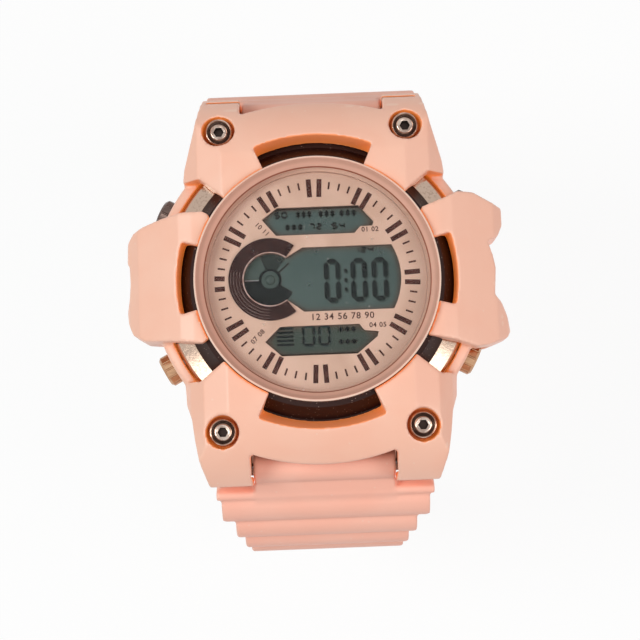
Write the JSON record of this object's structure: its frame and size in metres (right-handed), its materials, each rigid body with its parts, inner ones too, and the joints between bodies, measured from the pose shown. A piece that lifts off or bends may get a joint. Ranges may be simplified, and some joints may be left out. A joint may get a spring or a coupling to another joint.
{
  "type": "digital wristwatch",
  "caption": "Digital wristwatch with a screwed resin shroud over a round plated case, side push buttons and a ribbed two-piece resin strap with a pin buckle.",
  "frame": {"origin": "centre of the case back's flat outer face", "axes": "+Z out through the dial, +Y towards 12 o'clock, +X towards 3 o'clock"},
  "size_m": [0.0554, 0.0751, 0.0757],
  "materials": {
    "peach_resin": "satin moulded resin, peach pink",
    "peach_strap_resin": "soft matte resin, peach pink",
    "rose_case_plate": "polished rose plated alloy",
    "rose_ring": "satin rose steel",
    "back_steel": "brushed steel",
    "rose_buckle": "brushed rose steel",
    "bright_screws": "bright turned steel",
    "dark_button_steel": "dark polished rose steel",
    "plain_steel": "plain steel",
    "contact_gold": "gold plated brass",
    "clear_glass": "clear mineral glass",
    "display_glass": "grey display cell",
    "light_guide_acrylic": "frosted clear acrylic",
    "dial_brown": "rose brown dial",
    "crescent_brown": "dark gloss brown",
    "black_seals": "black seal rubber",
    "module_plastic": "black moulded plastic",
    "board_green": "green circuit board",
    "chip_black": "black potting",
    "lamp_amber": "lamp resin"
  },
  "bodies": {
    "head": {"backlight_lamp": "lamp_amber", "bar_springs": "plain_steel", "battery_clip": "plain_steel", "battery_holder": "module_plastic", "bezel_ring": "rose_ring", "bezel_shroud": "peach_resin", "button_seals": "black_seals", "button_spring_lower_left": "plain_steel", "button_spring_lower_right": "plain_steel", "button_spring_upper_left": "plain_steel", "button_spring_upper_right": "plain_steel", "buzzer_disc": "contact_gold", "buzzer_spring": "plain_steel", "case": "rose_case_plate", "case_back": "back_steel", "case_back_screws": "bright_screws", "case_back_seal": "black_seals", "cell_contact": "contact_gold", "chip_cover": "chip_black", "circuit_board": "board_green", "coin_cell": "plain_steel", "contact_strips": "black_seals", "crystal": "clear_glass", "crystal_gasket": "black_seals", "dial_crescent": "crescent_brown", "dial_plate": "dial_brown", "display_panel": "display_glass", "light_guide": "light_guide_acrylic", "module_frame": "module_plastic", "shroud_screws": "bright_screws", "spring_bar_lower": "plain_steel", "spring_bar_upper": "plain_steel", "switch_leaves": "contact_gold", "timing_crystal": "plain_steel"},
    "upper_right_button": {"button_upper_right": "dark_button_steel", "button_clip_upper_right": "plain_steel"},
    "lower_right_button": {"button_lower_right": "dark_button_steel", "button_clip_lower_right": "plain_steel"},
    "lower_left_button": {"button_lower_left": "dark_button_steel", "button_clip_lower_left": "plain_steel"},
    "upper_left_button": {"button_upper_left": "dark_button_steel", "button_clip_upper_left": "plain_steel"},
    "upper_right_bar_tip": {"bar_tip_upper_right": "plain_steel"},
    "upper_left_bar_tip": {"bar_tip_upper_left": "plain_steel"},
    "lower_right_bar_tip": {"bar_tip_lower_right": "plain_steel"},
    "lower_left_bar_tip": {"bar_tip_lower_left": "plain_steel"},
    "short_strap": {"strap_upper": "peach_strap_resin", "buckle_pin": "plain_steel"},
    "long_strap": {"strap_lower": "peach_strap_resin"},
    "keeper": {"strap_keeper": "peach_strap_resin"},
    "buckle": {"buckle_frame": "rose_buckle"},
    "prong": {"buckle_prong": "rose_buckle"}
  },
  "joints": [
    {"name": "press_upper_right_button", "type": "slide", "parent": "head", "child": "upper_right_button", "axis": [-0.887, -0.4617, 0], "range_m": [0, 0.001], "stiffness_N_per_m": 1200, "springref_m": -0.0006, "deforming": ["button_spring_upper_right"]},
    {"name": "press_lower_right_button", "type": "slide", "parent": "head", "child": "lower_right_button", "axis": [-0.887, 0.4617, 0], "range_m": [0, 0.001], "stiffness_N_per_m": 1200, "springref_m": -0.0006, "deforming": ["button_spring_lower_right"]},
    {"name": "press_lower_left_button", "type": "slide", "parent": "head", "child": "lower_left_button", "axis": [0.887, 0.4617, 0], "range_m": [0, 0.001], "stiffness_N_per_m": 1200, "springref_m": -0.0006, "deforming": ["button_spring_lower_left"]},
    {"name": "press_upper_left_button", "type": "slide", "parent": "head", "child": "upper_left_button", "axis": [0.887, -0.4617, 0], "range_m": [0, 0.001], "stiffness_N_per_m": 1200, "springref_m": -0.0006, "deforming": ["button_spring_upper_left"]},
    {"name": "push_upper_right_bar_tip", "type": "slide", "parent": "head", "child": "upper_right_bar_tip", "axis": [-1, 0, 0], "range_m": [0, 0.0017], "stiffness_N_per_m": 400, "springref_m": -0.0008, "deforming": ["bar_springs"]},
    {"name": "push_upper_left_bar_tip", "type": "slide", "parent": "head", "child": "upper_left_bar_tip", "axis": [1, 0, 0], "range_m": [0, 0.0017], "stiffness_N_per_m": 400, "springref_m": -0.0008},
    {"name": "push_lower_right_bar_tip", "type": "slide", "parent": "head", "child": "lower_right_bar_tip", "axis": [-1, 0, 0], "range_m": [0, 0.0017], "stiffness_N_per_m": 400, "springref_m": -0.0008},
    {"name": "push_lower_left_bar_tip", "type": "slide", "parent": "head", "child": "lower_left_bar_tip", "axis": [1, 0, 0], "range_m": [0, 0.0017], "stiffness_N_per_m": 400, "springref_m": -0.0008},
    {"name": "swing_short_strap", "type": "hinge", "parent": "head", "child": "short_strap", "pos_m": [0, 0.0258, 0.0046], "axis": [1, 0, 0], "range_deg": [0, 25]},
    {"name": "swing_long_strap", "type": "hinge", "parent": "head", "child": "long_strap", "pos_m": [0, -0.0258, 0.0046], "axis": [-1, 0, 0], "range_deg": [0, 30]},
    {"name": "slide_keeper", "type": "hinge", "parent": "short_strap", "child": "keeper", "pos_m": [0, -0.02647, -0.0033], "axis": [-1, 0, 0], "range_deg": [0, 4]},
    {"name": "swing_buckle", "type": "hinge", "parent": "short_strap", "child": "buckle", "pos_m": [0, 0.01148, -0.0401], "axis": [1, 0, 0], "range_deg": [-30, 15]},
    {"name": "lift_prong", "type": "hinge", "parent": "buckle", "child": "prong", "pos_m": [0, 0.01148, -0.0401], "axis": [1, 0, 0], "range_deg": [0, 25]}
  ]
}
